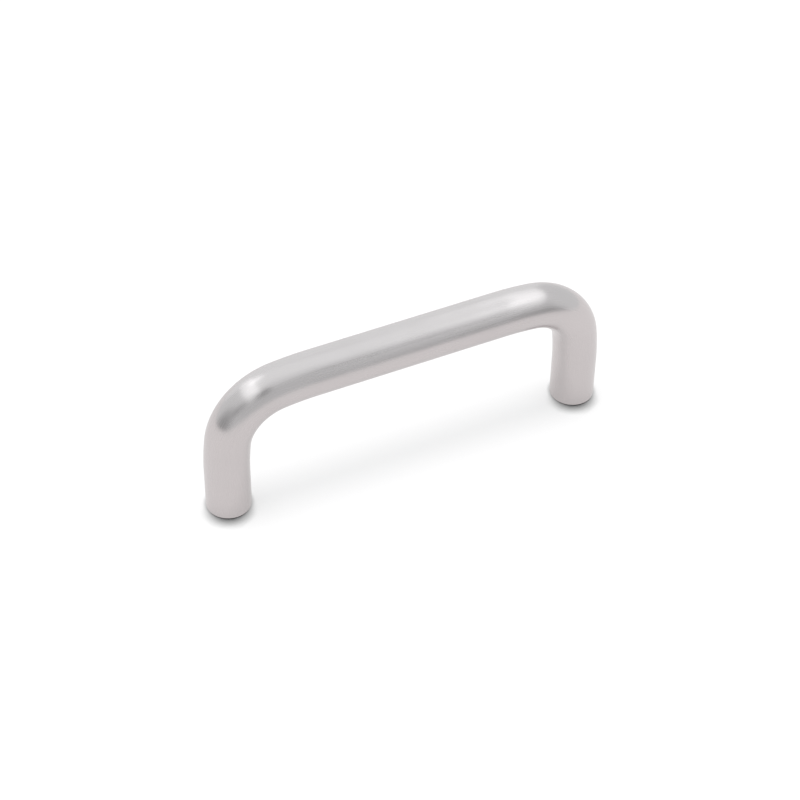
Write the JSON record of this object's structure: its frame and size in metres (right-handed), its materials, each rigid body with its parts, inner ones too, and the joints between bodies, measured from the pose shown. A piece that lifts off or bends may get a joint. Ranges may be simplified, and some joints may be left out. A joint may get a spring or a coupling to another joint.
{
  "type": "wire pull",
  "caption": "Wire pull: round satin metal bar bent into a U, its flat leg ends tapped for screws through a drawer front or cabinet door.",
  "frame": {"origin": "midway between the screw holes, on the door's face, which is the plane of the feet", "axes": "+X from leg to leg, +Y across the bar, +Z out from the door to the grip"},
  "size_m": [0.0852, 0.009, 0.032],
  "materials": {
    "satin_bar": "satin, finely brushed, slightly warm grey"
  },
  "bodies": {
    "root": {"bent_bar": "satin_bar"}
  },
  "joints": []
}
